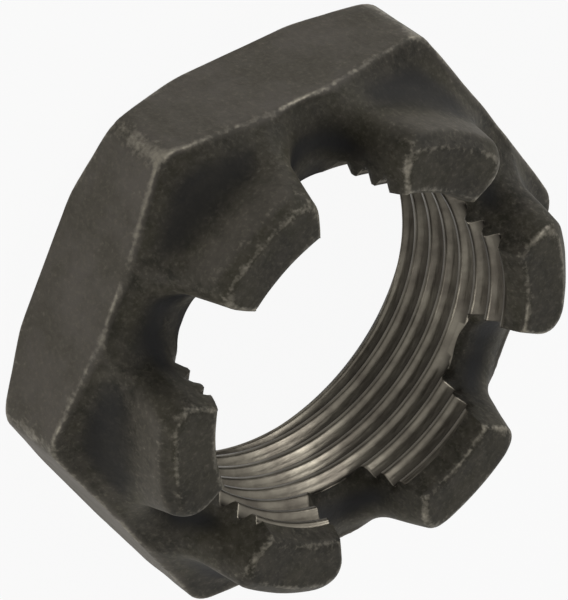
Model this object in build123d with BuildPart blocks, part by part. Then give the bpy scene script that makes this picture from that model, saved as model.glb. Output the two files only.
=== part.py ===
"""Thin castle nut: a hexagon nut with a slotted crown, forged in one piece and tapped right through.

The nut lies on its bearing face in the XY plane, with the thread's axis along +Z and two of its
corners on the X axis. A slot crosses the middle of each flat, so each castellation of the crown
stands above a corner. All sizes are in millimetres and all angles in degrees.
"""

import math
import os

from build123d import *

# Thread, left as a plain hole at its minor diameter
thread_diameter = 33.0
thread_pitch = 2.0
mouth_clearance = 0.3  # how far the countersinks open past the thread, on the radius

# Hexagon
across_flats = 46.0
hexagon_height = 9.2  # bearing face to the shoulder, over the middle of a flat
corner_radius = 2.6  # upright corners
bearing_overrun = 0.5  # how far past the flats, on the radius, the bearing side's chamfer starts
bearing_chamfer_angle = 31.0
shoulder_angle = 15.0  # fall of the shoulder from the crown to the corners

# Crown
nut_height = 17.4
crown_setback = 1.65  # from a flat to the crown's sharp outer rim, on the radius
crown_draft = 1.0  # lean of the crown's outer wall
cove_radius = 2.8  # hollow between the crown's outer wall and the shoulder
rim_chamfer = 1.15
castellation_corner_radius = 2.3

# Slots for the split pin
slot_floor_height = 10.3
slot_floor_width = 5.8
slot_floor_radius = 2.5
slot_draft = 11.0  # lean of each side wall
slot_count = 6

# Sizes that follow from the ones above
thread_depth = 0.54127 * thread_pitch
bore_radius = thread_diameter / 2 - thread_depth
mouth_radius = thread_diameter / 2 + mouth_clearance
mouth_depth = mouth_radius - bore_radius
half_flats = across_flats / 2
outside = across_flats / math.sqrt(3) + 1.0  # a radius clear of the hexagon's corners
rim_radius = half_flats - crown_setback
crown_wall = rim_radius - mouth_radius
bearing_radius = half_flats + bearing_overrun
slot_end_width = slot_floor_width + 2 * (nut_height - slot_floor_height) * math.tan(
    math.radians(slot_draft)
)


def shoulder_height(radius):
    """Height of the conical shoulder at a radius."""
    return hexagon_height - (radius - half_flats) * math.tan(math.radians(shoulder_angle))


def chamfer_height(radius):
    """Height of the bearing side's chamfer at a radius."""
    return (radius - bearing_radius) * math.tan(math.radians(bearing_chamfer_angle))


def crown_radius(height):
    """Radius of the crown's drafted outer wall at a height."""
    return rim_radius + (nut_height - height) * math.tan(math.radians(crown_draft))


def distance_out(edge):
    """Distance from the thread's axis to the middle of an edge."""
    return math.hypot(edge.center().X, edge.center().Y)


def slot_bearing(edge):
    """Angle about the axis between the middle of an edge and the nearest slot."""
    step = 360 / slot_count
    angle = math.degrees(math.atan2(edge.center().Y, edge.center().X))
    return abs(angle % step - step / 2)


def spans(edge, low, high):
    """Whether an edge lies wholly between two heights."""
    box = edge.bounding_box()
    return box.min.Z > low and box.max.Z < high


with BuildPart() as castle_nut:
    # Hexagonal blank with rounded upright corners.
    with BuildSketch():
        RegularPolygon(half_flats, 6, major_radius=False)
        fillet(vertices(), corner_radius)
    extrude(amount=nut_height)

    # The turned form that the blank is forged into: bearing face, chamfer, shoulder and crown.
    foot_radius = crown_radius(shoulder_height(rim_radius))
    foot = (foot_radius, shoulder_height(foot_radius))
    with BuildSketch(Plane.XZ):
        with BuildLine():
            Polyline(
                (0, 0),
                (bearing_radius, 0),
                (outside, chamfer_height(outside)),
                (outside, shoulder_height(outside)),
                foot,
                (rim_radius, nut_height),
                (0, nut_height),
                close=True,
            )
        make_face()
        fillet(vertices().sort_by_distance(foot)[0], cove_radius)
    revolve(axis=Axis.Z, mode=Mode.INTERSECT)

    # Hole for the thread, countersunk at both ends.
    with BuildSketch(Plane.XZ):
        with BuildLine():
            Polyline(
                (0, 0),
                (mouth_radius, 0),
                (bore_radius, mouth_depth),
                (bore_radius, nut_height - mouth_depth),
                (mouth_radius, nut_height),
                (0, nut_height),
                close=True,
            )
        make_face()
    revolve(axis=Axis.Z, mode=Mode.SUBTRACT)

    # Slots with drafted side walls and rounded floors, cut from the axis outwards.
    for slot_number in range(slot_count):
        across_slot = Plane.YZ.rotated((0, 0, (slot_number + 0.5) * 360 / slot_count))
        with BuildSketch(across_slot):
            with BuildLine():
                Polyline(
                    (-slot_floor_width / 2, slot_floor_height),
                    (slot_floor_width / 2, slot_floor_height),
                    (slot_end_width / 2, nut_height),
                    (-slot_end_width / 2, nut_height),
                    close=True,
                )
            make_face()
            fillet(vertices().group_by(Axis.Y)[0], slot_floor_radius)
        extrude(amount=outside, mode=Mode.SUBTRACT)

    # Rounded corners of the castellations, running on round the outer mouth of each slot.
    outer_wall = bore_radius + 0.75 * (rim_radius - bore_radius)
    slot_mouths = edges().filter_by(
        lambda edge: distance_out(edge) > outer_wall
        and slot_bearing(edge) < 20
        and slot_floor_height - 0.01 < edge.bounding_box().min.Z < nut_height - 0.01
    )
    fillet(slot_mouths, min(castellation_corner_radius, 0.55 * crown_wall))

    # Chamfer along the outer rim and round the corners of each castellation.
    end_edges = edges().filter_by(lambda edge: spans(edge, nut_height - 0.01, nut_height + 0.01))
    middle_of_wall = (mouth_radius + rim_radius) / 2
    rims = end_edges.filter_by(
        lambda edge: distance_out(edge) > middle_of_wall and edge.geom_type != GeomType.LINE
    )
    chamfer(rims, min(rim_chamfer, 0.3 * crown_wall))

castle_nut.part.label = "castle_nut"
os.makedirs("parts", exist_ok=True)
export_step(castle_nut.part, "parts/castle_nut.step")
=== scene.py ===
# %% [markdown]
# # A thin castle nut, forged and tapped
#
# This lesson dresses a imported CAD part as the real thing: a castle nut hot-forged from one lump of
# steel, with a thread cut through it afterwards. The CAD part fixes the main sizes. Here its plain
# surfaces get the soft corners of a forging, a real helical thread, and two finishes: a dark skin
# of forge scale, and the brighter metal that the tap has cut.

# %% Load the frame
import math

import bpy
import numpy as np
from mathutils import Matrix, Vector


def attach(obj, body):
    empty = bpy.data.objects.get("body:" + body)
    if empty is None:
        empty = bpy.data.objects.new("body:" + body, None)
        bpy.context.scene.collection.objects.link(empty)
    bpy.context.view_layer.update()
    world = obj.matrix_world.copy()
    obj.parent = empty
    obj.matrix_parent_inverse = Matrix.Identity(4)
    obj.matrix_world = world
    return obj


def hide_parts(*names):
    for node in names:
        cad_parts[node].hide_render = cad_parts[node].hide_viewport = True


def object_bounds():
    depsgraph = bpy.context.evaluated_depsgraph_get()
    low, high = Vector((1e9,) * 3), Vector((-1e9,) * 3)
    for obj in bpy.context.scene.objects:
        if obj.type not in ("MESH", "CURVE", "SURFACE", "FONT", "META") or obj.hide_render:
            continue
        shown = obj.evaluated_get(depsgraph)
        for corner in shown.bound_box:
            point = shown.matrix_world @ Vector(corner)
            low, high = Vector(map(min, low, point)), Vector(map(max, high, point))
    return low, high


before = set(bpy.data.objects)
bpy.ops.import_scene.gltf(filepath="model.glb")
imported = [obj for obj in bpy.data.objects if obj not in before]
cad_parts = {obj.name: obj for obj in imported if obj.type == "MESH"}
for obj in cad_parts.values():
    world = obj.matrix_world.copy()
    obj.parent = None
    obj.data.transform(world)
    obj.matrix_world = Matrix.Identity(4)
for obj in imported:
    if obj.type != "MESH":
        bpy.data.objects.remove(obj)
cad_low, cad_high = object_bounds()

cad_size_mm = [round(1000 * side, 2) for side in cad_high - cad_low]
print("The CAD part measures", cad_size_mm, "mm")

# %% [markdown]
# ## The sizes
#
# The nut is described in millimetres and becomes metres only when its mesh is made. Its height and
# its width across flats are read from the frame, so the dressed nut can't grow out of step with the
# CAD part. The other sizes here repeat the CAD part's own values.

# %% Sizes in millimetres
MM = 0.001
nut_height = cad_size_mm[2]
half_flats = cad_size_mm[1] / 2
corner_radius = 2.6
hexagon_height = 9.2
shoulder_slope = math.radians(15)
bearing_radius = half_flats + 0.5
bearing_slope = math.radians(31)
rim_radius = half_flats - 1.65
crown_draft = math.radians(1)
cove_radius = 2.8
rim_chamfer = 1.15
slot_floor_height = 10.3
slot_floor_half = 2.9
slot_floor_radius = 2.5
slot_draft = math.radians(11)
castellation_corner = 2.3
print("Hexagon", round(2 * half_flats, 1), "mm across flats and", hexagon_height, "mm high")

# %% [markdown]
# ## What the CAD part leaves out
#
# The CAD part has a plain hole and mostly sharp edges. The real nut has a thread, and above it the
# plain mouth that the punch left, a little wider than the tap's drill. Every edge of a forging is
# a little round, because hot steel doesn't fill the sharp corners of the dies, and the floor of
# each slot was dragged down where it breaks into the hole.

# %% Thread, mouth and small roundings, in millimetres
major_radius = 16.5
pitch = 2.0
thread_drop = 0.12  # sets where the groove starts round the hole
bore_radius = major_radius - 0.54127 * pitch  # a 60 degree thread is 0.54127 of its pitch deep
mouth_radius = major_radius + 0.3

thread_top = 15.2  # height at which the tapped thread gives way to the punched mouth
run_out = 0.3  # height over which it does so
crown_mouth_radius = 16.1  # the punched mouth where it reaches the end face
crown_mouth_bevel = 0.3

soft_edge = 0.32  # shoulder to flat
floor_fall = 1.5  # what a slot's floor would drop by the time it reached the thread's crest
fall_starts = 2.0  # how far from the crest that fall begins
rim_edge = 0.3  # both edges of the rim's chamfer
bearing_edge_round = 0.3  # where the bearing side's chamfer meets the flats
bearing_face_round = 0.15
end_corner = 3.9  # corners of the end faces, seen from above
slot_top = 0.5  # round along the top of each slot wall
slot_bevel = 0.06  # where the slots cut the thread
print("Thread from radius", round(bore_radius, 2), "to", major_radius, "mm at a pitch of", pitch)

# %% [markdown]
# ## Rounded joins
#
# Each face of the nut is written as a distance: negative inside the steel, zero on the face and
# positive outside. The larger of two distances keeps what lies inside both faces. Forged steel
# never meets in a knife edge, so the join is rounded instead, by measuring to a circle tucked into
# the corner. The same trick turned inside out makes the hollow curve where a wall stands on a floor.


# %% Joins between faces
def meet(a, b, radius):
    """Inside both a and b. Past the corner the distance is that of a circle of the given radius,
    set back by the radius from both faces; elsewhere it is the larger of a and b."""
    outside_both = np.hypot(np.maximum(a + radius, 0), np.maximum(b + radius, 0))
    return np.minimum(-radius, np.maximum(a, b)) + outside_both


def join(a, b, radius):
    """Inside a or b, with a hollow curve of the given radius between them: meet() turned inside out."""
    return -meet(-a, -b, radius)


# %% [markdown]
# ## The thread
#
# A tap leaves a groove that climbs one pitch for each turn. Seen along one line up the hole, the
# radius swings between the narrow crest and the deeper root. The groove's phase is the height in
# pitches less the angle in turns, so one formula gives the whole helix. A 60 degree thread has
# straight flanks with a narrow flat at the root and a wider one at the crest. A tap that has worn a
# little rounds both of them, which is what the smooth step does here. The thread stops short of the
# end face, below the punched mouth.


# %% Radius of the threaded hole
def eased(value):
    """0 below 0, 1 above 1, and a smooth step between: 3v squared less 2v cubed."""
    value = np.clip(value, 0, 1)
    return value * value * (3 - 2 * value)


def thread_depth(angle, height):
    """Depth of the groove from 0 on the crest to 1 at the root. Phase is height over pitch less angle
    over a turn. The depth is 0 for about a tenth of a pitch each side of phase 0, 1 for a twentieth
    each side of phase 1/2, and a straight flank between them with a smooth step mixed in."""
    phase = ((height + thread_drop) / pitch - angle / (2 * np.pi)) % 1.0
    from_crest = np.minimum(phase, 1 - phase)
    half_crest, flank_width = 0.09, 0.36
    straight, smooth = 0.55, 0.45
    flank = np.clip((from_crest - half_crest) / flank_width, 0, 1)
    return straight * flank + smooth * eased(flank)


def above_thread(height):
    """0 where the tap has cut, 1 in the plain mouth above it, and a smooth step between them."""
    return eased((height - thread_top + run_out / 2) / run_out)


def punched_radius(height):
    """The hole before the tap: the bore's radius, which above the thread grows in proportion to
    height up to the crown mouth's."""
    growth = (crown_mouth_radius - bore_radius) / (nut_height - thread_top)
    return bore_radius + growth * np.maximum(height - thread_top, 0)


def hole_radius(angle, height):
    """The thread, with the punched mouth above it and a 45 degree cone at the bearing face."""
    thread = bore_radius + (major_radius - bore_radius) * thread_depth(angle, height)
    tapped = thread + (punched_radius(height) - thread) * above_thread(height)
    return np.maximum(tapped, mouth_radius - height)


# %% [markdown]
# ## The whole nut as one distance
#
# The faces now meet one after another: a turned outline with its hollow curve at the crown's foot,
# six slots through the crown, the end face with its chamfered rim, the hexagon, and the bearing
# side with its chamfer. The hole has its own formula above, and its own rows in the mesh.


# %% Distance to the nut's surface
def hexagon_distance(x, y):
    """Distance to the nearest flat, or to the round of an upright corner beyond it."""
    turn = np.arctan2(y, x)
    from_corner = (turn + np.pi / 6) % (np.pi / 3) - np.pi / 6
    radius = np.hypot(x, y)
    along, across = radius * np.cos(from_corner), np.abs(radius * np.sin(from_corner))
    flat = along * math.cos(math.pi / 6) + across * 0.5 - half_flats
    centre = (half_flats - corner_radius) / math.cos(math.pi / 6)
    in_round = np.arctan2(across, along - centre) < math.pi / 6
    return np.where(in_round & (along > centre), np.hypot(along - centre, across) - corner_radius, flat)


def slot_distance(x, y, z):
    """Distance to the nearest slot, negative inside it: a floor and two leaning walls. The floor is
    flat, and falls in a square curve where it nears the hole."""
    turn, r = np.arctan2(y, x), np.hypot(x, y)
    from_slot = turn % (np.pi / 3) - np.pi / 6
    across = np.abs(r * np.sin(from_slot))
    fallen = np.clip((bore_radius + fall_starts - r) / fall_starts, 0, 1)
    floor = slot_floor_height - floor_fall * fallen**2
    half_width = slot_floor_half + (z - slot_floor_height) * math.tan(slot_draft)
    wall = (across - half_width) * math.cos(slot_draft)
    return meet(wall, floor - z, slot_floor_radius)


def mouth_rounding(r, z):
    """Rounding where the slots meet the crown's outer wall. It grows with height, and it fades out
    where a slot's floor runs out over the shoulder."""
    low, rise, share = 12.5, 4, 0.7
    higher = share * np.clip((z - low) / rise, 0, 1)
    rounding = castellation_corner + (end_corner - castellation_corner) * higher
    past_flats, fade, least = 1.3, 2, 0.1
    return rounding * np.clip((half_flats + past_flats - r) / fade, least, 1)


def nut_distance(x, y, z):
    """Distance to the finished nut without its hole, negative in the steel."""
    r = np.hypot(x, y)
    wall = (r - rim_radius - (nut_height - z) * math.tan(crown_draft)) * math.cos(crown_draft)
    over_shoulder = z - hexagon_height + (r - half_flats) * math.tan(shoulder_slope)
    turned = join(wall, over_shoulder * math.cos(shoulder_slope), cove_radius)
    cut = -slot_distance(x, y, z)
    crown = meet(turned, cut, mouth_rounding(r, z))
    side = meet(wall, cut - rim_chamfer, end_corner)
    rim = (side + z - nut_height + rim_chamfer) / math.sqrt(2)
    crown = meet(meet(crown, z - nut_height, slot_top), rim, rim_edge)
    body = meet(crown, hexagon_distance(x, y), soft_edge)
    bearing = (r - bearing_radius) * math.sin(bearing_slope) - z * math.cos(bearing_slope)
    return meet(meet(body, bearing, bearing_edge_round), -z, bearing_face_round)


# %% [markdown]
# ## A grid that follows the slots
#
# The mesh is one closed grid, like the skin of a ring. One direction goes round the nut, the other
# round its cross section. Inside a slot the lines round the nut lie side by side, parallel to the
# slot, and they fan out towards the corners of the hexagon. They are spaced by the length of the
# path down one slot wall, over the floor and up the other, so that the steep walls get their share.


# %% Lines across the nut
half_turn = math.pi / 6  # from a slot's middle to the corner beside it
parallel_until = 4.9  # mm from the slot's middle, just past the edge of its mouth
fan_curve = 1.5
samples = 4001
inner_across = np.linspace(0, bore_radius * math.sin(half_turn), samples)
fan = np.clip((inner_across - parallel_until) / (inner_across[-1] - parallel_until), 0, 1)
spread = half_flats * math.tan(half_turn) - inner_across[-1]
outer_across = inner_across + spread * fan**fan_curve


def slot_height(across):
    """Height of the slot's surface at a distance from its middle, up to the end face."""
    wall = slot_floor_height + (across - slot_floor_half) / math.tan(slot_draft)
    return np.clip(wall, slot_floor_height, nut_height)


# %% Share them out by the length of the path
inner_along = np.sqrt(bore_radius**2 - inner_across**2)
middle = 0.55  # the spacing is measured about halfway from the hole to the flat
path_x = inner_along + (half_flats - inner_along) * middle
path_y = inner_across + (outer_across - inner_across) * middle
path_z = slot_height(inner_across)
steps = np.sqrt(np.diff(path_x) ** 2 + np.diff(path_y) ** 2 + np.diff(path_z) ** 2)
travelled = np.concatenate([[0], np.cumsum(steps)])
lines_per_half = 54
wanted = np.linspace(0, travelled[-1], lines_per_half)
lines = (inner_along, inner_across, outer_across)
half = np.stack([np.interp(wanted, travelled, values) for values in lines])
sector = np.concatenate([half[:, :0:-1] * [[1], [-1], [-1]], half[:, :-1]], axis=1)
slot_angles = np.arange(6) * math.pi / 3 + math.pi / 6


def turned_lines(along, across):
    """One sector's points turned to each of the six slots in order."""
    cos, sin = np.cos(slot_angles)[:, None], np.sin(slot_angles)[:, None]
    return (cos * along - sin * across).ravel(), (sin * along + cos * across).ravel()


inner_x, inner_y = turned_lines(sector[0], sector[1])
outer_x, outer_y = turned_lines(np.full(sector.shape[1], half_flats), sector[2])
line_top = np.tile(slot_height(np.abs(sector[1])), 6)
print(len(inner_x), "lines round the nut,", round(2 * travelled[-1] / sector.shape[1], 2), "mm apart")

# %% [markdown]
# ## The cross section
#
# Along each line the section is a closed path: out over the bearing face, up its chamfer and the
# flat, in over the shoulder, up the crown's wall, over the rim and back across the end face or the
# slot's floor to the hole. It starts with sharp corners, and the rows are crowded near them.


# %% Section points
def at_radius(radius):
    """Point where each straight line, from the hole to the hexagon, crosses a circle."""
    dx, dy = outer_x - inner_x, outer_y - inner_y
    a, b = dx**2 + dy**2, inner_x * dx + inner_y * dy
    c = inner_x**2 + inner_y**2 - radius**2
    t = (-b + np.sqrt(b**2 - a * c)) / a
    return inner_x + t * dx, inner_y + t * dy


def crowded(count, share=0.75):
    """Steps from 0 up to 1 without the last one, closer together near both ends: even steps mixed
    with half of one less the cosine."""
    even = np.arange(count) / count
    return (1 - share) * even + share * (1 - np.cos(np.pi * even)) / 2


def shoulder_at(radius):
    """Height of the sloping shoulder at a radius."""
    return hexagon_height - (radius - half_flats) * math.tan(shoulder_slope)


# %% Walk round the section
outer_radius = np.hypot(outer_x, outer_y)
foot_radius = rim_radius + (nut_height - shoulder_at(rim_radius)) * math.tan(crown_draft)
foot_height = shoulder_at(foot_radius)
inset, least_rise = 0.4, 0.35  # mm, at the middle of a flat, where the chamfer misses the steel
bearing_edge = np.minimum(bearing_radius, outer_radius - inset)
chamfer_top = np.maximum((outer_radius - bearing_radius) * math.tan(bearing_slope), least_rise)
rim_share = 0.4  # of the crown's wall, over a slot, where the whole chamfer has no room
rim_drop = np.minimum(rim_chamfer, rim_share * (line_top - foot_height))
ones = np.ones(len(inner_x))
on_end_face = line_top > nut_height - 0.01
by_the_hole = 15.9  # radius where a slot's floor hands over to the rim of the hole
last_ring = np.where(on_end_face, crown_mouth_radius + crown_mouth_bevel, by_the_hole)

# Each corner is x, y, z and the number of rows up to the next corner.
corners = [
    (*at_radius(mouth_radius * ones), 0 * ones, 5),
    (*at_radius(bearing_edge), 0 * ones, 5),
    (outer_x, outer_y, chamfer_top, 13),
    (outer_x, outer_y, shoulder_at(outer_radius), 13),
    (*at_radius(foot_radius * ones), foot_height * ones, 15),
    (*at_radius(rim_radius * ones), line_top - rim_drop, 7),
    (*at_radius((rim_radius - rim_drop) * ones), line_top, 10),
    (*at_radius(mouth_radius * ones), line_top, 1),
    (*at_radius(last_ring), line_top, 0),
]
rows = []
for here, there in zip(corners[:-1], corners[1:]):
    t = crowded(here[3])[:, None]
    rows.append([(1 - t) * here[k] + t * there[k] for k in range(3)])
rows.append([corners[-1][k][None, :] for k in range(3)])
skin = np.concatenate(rows, axis=1)
print(skin.shape[1], "rows over the outside of the section")

# %% [markdown]
# ## Settling on the surface
#
# The sharp-cornered grid is drawn onto the rounded nut: each point slides along the slope of the
# distance, by the distance, until it lies on the surface. The steel's own unevenness is added to
# the distance at the same time: broad swells left by the dies, the finer dimples of the scale, and
# the torn edge where the slots cut the thread. It only ever takes steel away, so the nut stays
# inside its box.


# %% Uneven forged surface
def swell(x, y, z, size, seed):
    """Smooth random heights from 0 to 1: eased mixing of random values at the corners of a cubic
    lattice whose cells have the given size in millimetres and which repeats every 16 cells."""
    lattice = np.random.default_rng(seed).random((16, 16, 16))
    offset = 100.37  # cells, so that none has a number under 0
    p = np.stack([x, y, z]) / size + offset
    cell = np.floor(p).astype(int)
    f = p - cell
    f = f * f * (3 - 2 * f)
    total = 0
    for corner in np.ndindex(2, 2, 2):
        weight = np.prod([f[k] if corner[k] else 1 - f[k] for k in range(3)], axis=0)
        i, j, k = [(cell[a] + corner[a]) % 16 for a in range(3)]
        total = total + weight * lattice[i, j, k]
    return total


def forged_distance(x, y, z):
    """The nut's distance, with up to 0.21 mm taken off the skin but not off the bearing face, and
    up to 0.16 mm more where the slots cut the thread and its edge has torn."""
    off_bearing = np.clip(z / 0.8, 0, 1)
    dies = 0.16 * swell(x, y, z, 6.0, 1) + 0.05 * swell(x, y, z, 1.7, 2)
    below_end_face = np.clip(nut_height - 1 - z, 0, 1)
    by_thread = np.clip((mouth_radius - np.hypot(x, y)) / 0.7, 0, 1) * below_end_face
    torn = 0.16 * by_thread * swell(x, y, z, 1.1, 3)
    return nut_distance(x, y, z) + off_bearing * dies + torn


def slope(distance, x, y, z, reach=0.01):
    """Direction of steepest rise, from the distance a little way off along each axis."""
    return np.stack([
        distance(x + reach, y, z) - distance(x - reach, y, z),
        distance(x, y + reach, z) - distance(x, y - reach, z),
        distance(x, y, z + reach) - distance(x, y, z - reach),
    ]) / (2 * reach)


# %% Settle the points
# Each round goes nine tenths of the way, so that no point overshoots. The slope can be nearly flat
# on a crease, and is held above a least steepness there, so that no point flies off.
rounds, share_of_way, least_steepness = 9, 0.9, 0.3
x, y, z = skin
for _ in range(rounds):
    off = forged_distance(x, y, z)
    rise = slope(forged_distance, x, y, z)
    move = share_of_way * off / np.maximum((rise**2).sum(0), least_steepness)
    x, y, z = x - move * rise[0], y - move * rise[1], z - move * rise[2]
farthest = float(np.abs(forged_distance(x, y, z)).max())
print("The skin lies within", round(farthest, 3), "mm of the surface")

# %% [markdown]
# ## Rows that climb with the thread
#
# A thread looks ragged when the rows of its mesh lie flat, because each row cuts across the groove.
# Here the rows in the hole climb with the groove instead: ten to a pitch, one on each line that
# shows, such as the middle of the crest, its two edges and the root. After a full turn each row
# arrives one pitch higher, so the last column is stitched to the first with a shift of ten rows.
# A row that would leave the hole at the top or the bottom ends in the rim that is already there.


# %% The rim that the rows end in
def nearest_turn(angle):
    """The same direction, written within half a turn of each line's own angle."""
    return line_angle + (angle - line_angle + np.pi) % (2 * np.pi) - np.pi


line_angle = np.arctan2(inner_y, inner_x) % (2 * np.pi)
line_angle[0] = 0
line_count = len(line_angle)
edge_angle = nearest_turn(np.arctan2(y[-1], x[-1]))
edge_bevel = np.where(on_end_face, crown_mouth_bevel, slot_bevel)
edge_radius = hole_radius(edge_angle, z[-1]) + edge_bevel
x[-1], y[-1] = edge_radius * np.cos(edge_angle), edge_radius * np.sin(edge_angle)

# %% The hole's helical rows
# Parts of a pitch: up from the middle of the crest, over its edge and the flank to the root at 0.5,
# and down the other flank.
row_phases = np.array([0, 0.085, 0.15, 0.27, 0.41, 0.5, 0.59, 0.73, 0.85, 0.915])
turns = np.arange(-1, math.ceil(nut_height / pitch) + 1)[:, None]
climb = (turns + row_phases).ravel()  # a row's start, in pitches above the bearing face
climb = climb[climb < (nut_height + thread_drop) / pitch]
bottom_angle = nearest_turn(np.arctan2(y[0], x[0]))
thread_z = pitch * (climb[:, None] + line_angle / (2 * np.pi)) - thread_drop
share = np.clip(thread_z / z[-1], 0, 1)
thread_angle = bottom_angle + (edge_angle - bottom_angle) * share
thread_z = pitch * (climb[:, None] + thread_angle / (2 * np.pi)) - thread_drop
thread_r = hole_radius(thread_angle, thread_z) + np.maximum(thread_z - z[-1] + edge_bevel, 0)
thread = np.stack([thread_r * np.cos(thread_angle), thread_r * np.sin(thread_angle), thread_z])
clear_of_rim = 0.06  # mm, nearer than which a row ends in the rim
too_low, too_high = thread_z < clear_of_rim, thread_z > z[-1] - clear_of_rim
print(len(climb), "helical rows,", int((~too_low & ~too_high).sum()), "points in the thread")

# %% [markdown]
# ## The mesh
#
# The grid wraps round in both directions, so it has no seam and no open edge. Each face takes four
# neighbouring points. Where a helical row ends in a rim, two of the four are the same point, and
# the face becomes a triangle. To prove that the skin is closed, the edges are counted: each has to
# join exactly two faces. The volume tells which way the faces point, and they are turned if needed.


# %% Faces
def between(grid):
    """Four corners of each face between neighbouring rows and columns of a grid of point numbers."""
    corners = [grid[:-1, :-1], grid[:-1, 1:], grid[1:, 1:], grid[1:, :-1]]
    return np.stack(corners, axis=-1).reshape(-1, 4)


skin = np.stack([x, y, z])
skin_rows = skin.shape[1]
ids = np.arange(skin_rows * line_count).reshape(skin_rows, line_count)
inside = ~too_low & ~too_high
thread_ids = np.where(too_low, ids[0], ids[-1])
thread_ids[inside] = ids.size + np.arange(inside.sum())
points = np.concatenate([skin.reshape(3, -1), thread[:, inside]], axis=1)

round_skin = np.concatenate([ids, ids[:, :1]], axis=1)
bottom_up = np.concatenate([ids[:1], thread_ids, ids[-1:]])
shifted = np.minimum(np.arange(len(bottom_up)) + len(row_phases), len(bottom_up) - 1)
round_hole = np.concatenate([bottom_up, bottom_up[shifted, :1]], axis=1)

skin_faces, hole_faces = between(round_skin), between(round_hole)[:, ::-1]
faces = np.concatenate([skin_faces, hole_faces])
in_hole = np.arange(len(faces)) >= len(skin_faces)
same_as_next = faces == np.roll(faces, -1, axis=1)
keep = same_as_next.sum(axis=1) < 2
faces, same_as_next, in_hole = faces[keep], same_as_next[keep], in_hole[keep]

# %% Closed, and facing out
a, b, c, d = (points.T[faces[:, k]] for k in range(4))
volume = (np.einsum("ij,ij->i", a, np.cross(b, c)) + np.einsum("ij,ij->i", a, np.cross(c, d))).sum() / 6
if volume < 0:
    faces, same_as_next = faces[:, ::-1], np.roll(same_as_next[:, ::-1], -1, axis=1)
sizes = (~same_as_next).sum(axis=1)
ends = np.stack([faces, np.roll(faces, -1, axis=1)], axis=-1)[~same_as_next]
uses = np.unique(np.sort(ends, axis=1) @ [points.shape[1], 1], return_counts=True)[1]
print("Volume", round(abs(float(volume))), "cubic millimetres,", int((sizes - 2).sum()), "triangles")
print("Edges that don't join two faces:", int((uses != 2).sum()))

# %% Make the mesh
mesh = bpy.data.meshes.new("forged_nut")
mesh.vertices.add(points.shape[1])
mesh.vertices.foreach_set("co", (points.T * MM).ravel())
mesh.loops.add(len(ends))
mesh.loops.foreach_set("vertex_index", ends[:, 0].astype(np.int32))
mesh.polygons.add(len(faces))
mesh.polygons.foreach_set("loop_start", (np.cumsum(sizes) - sizes).astype(np.int32))
mesh.update(calc_edges=True)
mesh.polygons.foreach_set("use_smooth", np.ones(len(faces), bool))

# %% [markdown]
# ## What each point knows about its place
#
# The finish follows the shape. Handling rubs the scale off whatever stands proud, and a painted
# highlight lightens those edges further. Scale stays thick wherever nothing reaches it, and painted
# shade darkens it there further. Both come from the average distance at points on a small ball:
# more of the ball hangs outside the steel at an edge, and more of it is buried in a hollow. A slot
# counts as a hollow all over. Two simpler numbers go with them: how near a point is to a flat or
# to the crown's outer wall, where the dies have wiped the scale thin, and how deep it lies in the
# groove, where the tap's oil and dust collect and painted shade darkens the root. Each is kept in
# the mesh as an attribute, which the finishes read by name.


# %% Edges and hollows
def blank_distance(x, y, z):
    """Distance to the nut with its hole as it was punched, before the tap."""
    return meet(nut_distance(x, y, z), punched_radius(z) - np.hypot(x, y), crown_mouth_bevel)


def average_distance(x, y, z, reach):
    """Mean distance over fourteen points on a ball of the given radius, less the distance at its
    middle, divided by the radius."""
    slant = 1 / math.sqrt(3)
    ball = [(s, 0, 0) for s in (-1, 1)] + [(0, s, 0) for s in (-1, 1)] + [(0, 0, s) for s in (-1, 1)]
    ball += [(a * slant, b * slant, c * slant) for a in (-1, 1) for b in (-1, 1) for c in (-1, 1)]
    total = sum(blank_distance(x + reach * a, y + reach * b, z + reach * c) for a, b, c in ball)
    return (total / 14 - blank_distance(x, y, z)) / reach


# %% Where each point lies
from_axis = np.hypot(points[0], points[1])
from_corner = (np.arctan2(points[1], points[0]) + math.pi / 6) % (math.pi / 3) - math.pi / 6
across_corner = from_axis * np.sin(np.abs(from_corner))
corner_width = 0.75

# These six run from 0 to 1.
on_flat = eased((hexagon_distance(points[0], points[1]) + 0.75) / 0.5)
on_upright_corner = on_flat * np.exp(-(across_corner / corner_width) ** 2)
on_crown_wall = eased((from_axis - rim_radius + 0.5) / 0.4) * eased((points[2] - 12) / 3)
by_end_face = eased((points[2] - 16.5) / 0.6)
clear_of_thread = eased((from_axis - 16.4) / 0.5 + 9 * np.clip(points[2] - nut_height + 1, 0, 1))
in_slot = eased(1 - slot_distance(*points) / 0.7) * eased((16.5 - points[2]) / 3)

# %% What handling, the dies and the tap have done there, and painted highlight and shade
edge_reach, hollow_reach = 0.27, 2.6  # radius of the ball that feels an edge, and a hollow
rub_and_highlight_strength = 2.0 + 2.4 * on_flat + 2.4 * by_end_face
# Worn edges, which the finish also lightens as a painted highlight.
rubbed_and_highlight = rub_and_highlight_strength * average_distance(*points, edge_reach) + 0.8 * on_upright_corner
rubbed_and_highlight = rubbed_and_highlight * clear_of_thread
# Painted shade: darker in the slots and wherever the larger ball is buried, on top of thicker scale
# there.
hollow_scale_and_shade = 0.4 * in_slot - 8 * average_distance(*points, hollow_reach)
wiped = on_flat + 0.6 * on_crown_wall
groove = np.zeros(points.shape[1])
groove[ids.size:] = (thread_depth(thread_angle, thread_z) * (1 - above_thread(thread_z)))[inside]

# %% Keep them in the mesh
for name, values in {"rubbed_and_highlight": rubbed_and_highlight, "hollow_scale_and_shade": hollow_scale_and_shade, "wiped": wiped, "groove": groove}.items():
    layer = mesh.attributes.new(name, "FLOAT", "POINT")
    layer.data.foreach_set("value", np.clip(values, 0, 1).astype(np.float32))
    print(name, "from", round(float(values.min()), 2), "to", round(float(values.max()), 2))

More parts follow.
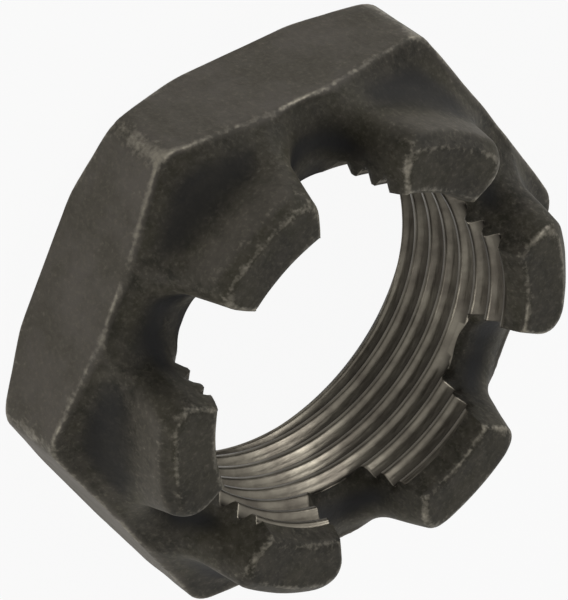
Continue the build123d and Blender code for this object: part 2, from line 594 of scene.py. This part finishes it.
# %% Which faces the tap has cut
centre = (a + b + c + d) / 4
past_countersink = np.hypot(centre[:, 0], centre[:, 1]) - (mouth_radius - centre[:, 2]) > 0.03
cut_by_tap = in_hole & past_countersink & (centre[:, 2] < thread_top + 0.1)
mesh.polygons.foreach_set("material_index", cut_by_tap.astype(np.int32))
mesh.update()
print(int(cut_by_tap.sum()), "faces cut by the tap")

# %% The nut in the frame
nut = bpy.data.objects.new("forged_nut", mesh)
bpy.context.scene.collection.objects.link(nut)
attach(nut, "root")
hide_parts("castle_nut")

# %% [markdown]
# ## Finishes
#
# Steel that is forged hot comes out under a skin of iron oxide. It is a warm dark grey on the open
# faces, thinner and lighter on the flats, and rubbed through to bare grey metal in specks along the
# edges, where a painted highlight lightens it further. In the slots and hollows the scale is thicker,
# and painted shade makes it nearly black. It scatters light broadly, so the roughness is high. The
# tap takes that skin off inside the hole, and leaves brighter metal with fine marks that run round
# with the thread, dirt and painted shade in the root and a little of the old skin left on the crest.


# %% Helpers for materials
# A Mix node takes its share at input 0 and its two colours at inputs 6 and 7, and gives the colour
# at output 2. A Map Range node takes its value at input 0, and maps the range at inputs 1 and 2,
# which is 0 to 1 if not given, to the one at inputs 3 and 4.
colours = {"data_type": "RGBA"}


def linear(hex_colour):
    """An sRGB hex value as linear red, green, blue and alpha."""
    parts = [int(hex_colour[k:k + 2], 16) / 255 for k in (1, 3, 5)]
    return [p / 12.92 if p <= 0.04045 else ((p + 0.055) / 1.055) ** 2.4 for p in parts] + [1]


def add_node(tree, kind, settings={}, inputs={}, **links):
    """Adds a node, sets its properties and input values, and links sockets given as NAME=socket."""
    node = tree.nodes.new(kind)
    for key, value in settings.items():
        setattr(node, key, value)
    for key, value in inputs.items():
        node.inputs[key].default_value = value
    for key, socket in links.items():
        tree.links.new(node.inputs[int(key[1:]) if key[0] == "_" else key], socket)
    return node


def new_material(name):
    """A material holding only its Principled shader, as (material, node tree, shader)."""
    material = bpy.data.materials.new(name)
    material.use_nodes = True
    return material, material.node_tree, material.node_tree.nodes["Principled BSDF"]


# %% Forge scale
# Stains are 5 to 6 mm across. The scale's own flakes and pores are mostly finer than 0.2 mm, too
# fine to show from a step away, so they are drawn coarser: a grain of 1 mm and pores of 0.4 mm.
scale, tree, shader = new_material("forge_scale_steel")
place = add_node(tree, "ShaderNodeTexCoord").outputs["Object"]
rubbed_and_highlight, hollow_scale_and_shade, wiped = (
    add_node(tree, "ShaderNodeAttribute", {"attribute_name": name}).outputs["Fac"]
    for name in ("rubbed_and_highlight", "hollow_scale_and_shade", "wiped")
)
stain, grain, pores = (
    add_node(tree, "ShaderNodeTexNoise", {},
             {"Scale": 1 / (size * MM), "Detail": 4, "Roughness": 0.6}, Vector=place).outputs["Fac"]
    for size in (5.5, 1.0, 0.4)
)

# %% Forge scale: colour
# The skin's own colour: patches of thin warm scale on thick dark scale, thinner on the flats, where
# the trimming die has wiped it, and a fine salt of pores and flakes over both.
patches = add_node(tree, "ShaderNodeMapRange", {}, {1: 0.40, 2: 0.60}, _0=stain).outputs[0]
thick = add_node(tree, "ShaderNodeMix", colours, {6: linear("#24221a"), 7: linear("#3d3a2e")},
                 _0=patches).outputs[2]
thin = add_node(tree, "ShaderNodeMix", colours, {6: linear("#545047"), 7: linear("#66615a")},
                _0=patches).outputs[2]
skin_colour = add_node(tree, "ShaderNodeMix", colours, {}, _0=wiped, _6=thick, _7=thin).outputs[2]
cloudy = add_node(tree, "ShaderNodeMapRange", {}, {1: 0.35, 2: 0.68, 4: 0.38}, _0=grain).outputs[0]
clouded = add_node(tree, "ShaderNodeMix", colours, {7: linear("#6d675d")},
                   _0=cloudy, _6=skin_colour).outputs[2]
flakes = add_node(tree, "ShaderNodeMapRange", {}, {1: 0.50, 2: 0.72, 4: 0.38}, _0=pores).outputs[0]
flaked = add_node(tree, "ShaderNodeMix", colours, {7: linear("#7d776a")},
                  _0=flakes, _6=clouded).outputs[2]

# %% Forge scale: wear, painted highlight and painted shade
# Edges rub down to bare steel, unevenly: more in some places than others, and always in specks. The
# same lighter colour there is also a painted highlight along the edges.
# Hollows keep the thickest scale, and painted shade darkens them until they nearly swallow the light.
patchy_rub_and_highlight = add_node(tree, "ShaderNodeMapRange", {}, {1: 0.38, 2: 0.62, 3: 0.5, 4: 1.3},
                   _0=stain).outputs[0]
uneven = add_node(tree, "ShaderNodeMath", {"operation": "MULTIPLY"}, {}, _0=rubbed_and_highlight, _1=patchy_rub_and_highlight).outputs[0]
for share, pattern in ((1.0, grain), (1.6, pores)):
    uneven = add_node(tree, "ShaderNodeMath", {"operation": "MULTIPLY_ADD"}, {1: share},
                      _0=pattern, _2=uneven).outputs[0]
wear_and_highlight = add_node(tree, "ShaderNodeMapRange", {}, {1: 1.60, 2: 2.40}, _0=uneven).outputs[0]
# Bare grey metal where worn, and a painted highlight along the same edges.
worn_and_highlit = add_node(tree, "ShaderNodeMix", colours, {7: linear("#8e887a")},
                _0=wear_and_highlight, _6=flaked).outputs[2]
# Painted shade: slots and hollows go nearly black, over their thicker scale.
shaded = add_node(tree, "ShaderNodeMix", colours, {7: linear("#0d0c0b")},
                  _0=hollow_scale_and_shade, _6=worn_and_highlit).outputs[2]
tree.links.new(shader.inputs["Base Color"], shaded)

# %% Forge scale: shine and relief
# Where it is worn, the skin is part metal and smoother. Grain and pores stand about 0.1 mm proud.
bare = add_node(tree, "ShaderNodeMath", {"operation": "MULTIPLY"}, {1: 0.4}, _0=wear_and_highlight).outputs[0]
tree.links.new(shader.inputs["Metallic"], bare)
matt = add_node(tree, "ShaderNodeMapRange", {}, {3: 0.66, 4: 0.45}, _0=wear_and_highlight).outputs[0]
tree.links.new(shader.inputs["Roughness"], matt)
shader.inputs["Specular IOR Level"].default_value = 0.2

relief = add_node(tree, "ShaderNodeMath", {"operation": "MULTIPLY_ADD"}, {1: 0.35},
                  _0=pores, _2=grain).outputs[0]
bump = add_node(tree, "ShaderNodeBump", {}, {"Strength": 0.6, "Distance": 0.12 * MM}, Height=relief)
tree.links.new(shader.inputs["Normal"], bump.outputs["Normal"])

# %% Tapped steel
# The tap's marks are drawn out sideways, eight times as long as they are high, so a lamp shows in
# them as an upright streak of light across the turns. Real ones are too fine to show, so they are
# drawn 0.22 mm high.
tapped, tree, shader = new_material("tapped_steel")
place = add_node(tree, "ShaderNodeTexCoord").outputs["Object"]
groove = add_node(tree, "ShaderNodeAttribute", {"attribute_name": "groove"}).outputs["Fac"]
drawn_out = add_node(tree, "ShaderNodeMapping", {}, {"Scale": (0.12, 0.12, 1.0)}, Vector=place).outputs[0]
marks = add_node(tree, "ShaderNodeTexNoise", {}, {"Scale": 1 / (0.22 * MM), "Detail": 3},
                 Vector=drawn_out).outputs["Fac"]
tarnish = add_node(tree, "ShaderNodeTexNoise", {},
                   {"Scale": 1 / (2.6 * MM), "Detail": 4, "Roughness": 0.6}, Vector=place).outputs["Fac"]
dull = add_node(tree, "ShaderNodeMapRange", {}, {1: 0.35, 2: 0.65}, _0=tarnish).outputs[0]
cut_metal = add_node(tree, "ShaderNodeMix", colours, {6: linear("#767166"), 7: linear("#59544c")},
                     _0=dull).outputs[2]
# Darker towards the root of the groove: the tap's oil and dust there, and painted shade.
root_dirt_and_shade = add_node(tree, "ShaderNodeMapRange", {}, {1: 0.40, 2: 1.0}, _0=groove).outputs[0]
with_roots = add_node(tree, "ShaderNodeMix", colours, {7: linear("#34312c")},
                      _0=root_dirt_and_shade, _6=cut_metal).outputs[2]
uncut = add_node(tree, "ShaderNodeMapRange", {}, {1: 0.16, 2: 0.02, 4: 0.45}, _0=groove).outputs[0]
with_crests = add_node(tree, "ShaderNodeMix", colours, {7: linear("#45413a")},
                       _0=uncut, _6=with_roots).outputs[2]
tree.links.new(shader.inputs["Base Color"], with_crests)
shader.inputs["Metallic"].default_value = 1.0
satin = add_node(tree, "ShaderNodeMapRange", {}, {3: 0.26, 4: 0.42}, _0=marks).outputs[0]
tree.links.new(shader.inputs["Roughness"], satin)
bump = add_node(tree, "ShaderNodeBump", {}, {"Strength": 0.6, "Distance": 0.04 * MM}, Height=marks)
tree.links.new(shader.inputs["Normal"], bump.outputs["Normal"])

# %% Give the nut its finishes
for material in (scale, tapped):
    mesh.materials.append(material)
print("Finishes:", [m.name for m in mesh.materials])

# %% [markdown]
# ## Floor, light and camera
#
# The nut lies on pale paper under soft studio light. The white of the background is only for the
# camera and for what shiny metal reflects, so that it puts no extra light on the steel. The floor
# mixes that white with the paper's own lit colour, and the nut's shadow stays on it. Two large low
# lamps stand at the sides, so that the hexagon's flats and the outside of the crown are light while
# the slots stay dark. A weak one stands behind. The last lamp is high and small and lights only
# what shines: it gives the thread its streak and leaves the dull scale as it is.


# %% Floor and world
def seen_directly(tree):
    """1 for what the camera, polished metal or clear glass shows, 0 for light that falls on things."""
    rays = add_node(tree, "ShaderNodeLightPath").outputs
    shown = add_node(tree, "ShaderNodeMath", {"operation": "MAXIMUM"}, {},
                     _0=rays["Is Camera Ray"], _1=rays["Is Glossy Ray"]).outputs[0]
    return add_node(tree, "ShaderNodeMath", {"operation": "MAXIMUM"}, {},
                    _0=shown, _1=rays["Is Transmission Ray"]).outputs[0]


floor_mesh = bpy.data.meshes.new("floor")
wide = 3.0  # metres from the nut to each edge
below = -0.05 * MM  # a hair under the bearing face, so that the two don't fight for the same place
floor_corners = [(-wide, -wide, below), (wide, -wide, below), (wide, wide, below), (-wide, wide, below)]
floor_mesh.from_pydata(floor_corners, [], [(0, 1, 2, 3)])
floor = bpy.data.objects.new("floor", floor_mesh)
bpy.context.scene.collection.objects.link(floor)
paper, tree, shader = new_material("pale_paper")
shader.inputs["Base Color"].default_value = linear("#f4f3f0")
shader.inputs["Roughness"].default_value = 0.9
white = add_node(tree, "ShaderNodeEmission", {}, {"Strength": 1.0}).outputs[0]
share_of_white = add_node(tree, "ShaderNodeMath", {"operation": "MULTIPLY"}, {1: 0.93},
                          _0=seen_directly(tree)).outputs[0]
lit = add_node(tree, "ShaderNodeMixShader", {}, {}, _0=share_of_white, _1=shader.outputs[0], _2=white)
tree.links.new(tree.nodes["Material Output"].inputs["Surface"], lit.outputs[0])
floor_mesh.materials.append(paper)

world = bpy.data.worlds.new("studio")
bpy.context.scene.world = world
world.use_nodes = True
tree = world.node_tree
background = tree.nodes["Background"]
strength = add_node(tree, "ShaderNodeMapRange", {}, {"To Min": 0.15, "To Max": 1.0},
                    _0=seen_directly(tree))
tree.links.new(background.inputs["Strength"], strength.outputs[0])
background.inputs["Color"].default_value = (1, 1, 1, 1)


# %% Lamps
lamp_distance = 0.9


def softbox(name, azimuth, elevation, side, power):
    """A square lamp aimed at the nut from an azimuth and elevation in degrees. Its side is in metres
    and its power in watts."""
    turn, tilt = math.radians(azimuth), math.radians(elevation)
    lamp = bpy.data.lights.new(name, "AREA")
    lamp.size, lamp.energy = side, power
    holder = bpy.data.objects.new(name, lamp)
    direction = Vector((math.cos(tilt) * math.cos(turn), math.cos(tilt) * math.sin(turn), math.sin(tilt)))
    holder.location = lamp_distance * direction + Vector((0, 0, 0.01))
    holder.rotation_euler = direction.to_track_quat("Z", "Y").to_euler()
    bpy.context.scene.collection.objects.link(holder)
    return holder


softbox("key", -78, 9, 0.3, 2.8)
softbox("fill", 72, 12, 0.35, 2.6)
softbox("back", 180, 18, 0.35, 0.6)
glint = softbox("glint", -68, 48, 0.25, 2.6)
glint.visible_diffuse = False
print(len(bpy.data.lights), "lamps")

# %% Camera
# It looks down on the crown from 0.45 m away and 41 degrees up, and is rolled so that the nut's axis
# points down to the right. The lens is long, so that the far side is hardly smaller than the near.
camera = bpy.data.objects.new("camera", bpy.data.cameras.new("camera"))
bpy.context.scene.collection.objects.link(camera)
camera.location = (0.338927, 0.047897, 0.307168)
aim = Vector((0.004519, 0.000295, 0.0087)) - camera.location
roll = Matrix.Rotation(math.radians(126.05), 4, "Z").to_quaternion()
camera.rotation_mode = "QUATERNION"
camera.rotation_quaternion = aim.to_track_quat("-Z", "Y") @ roll
camera.data.lens = 329.3
camera.data.sensor_width = 36
camera.data.clip_start, camera.data.clip_end = 0.05, 10
bpy.context.scene.camera = camera
bpy.context.scene.view_settings.view_transform = "Standard"
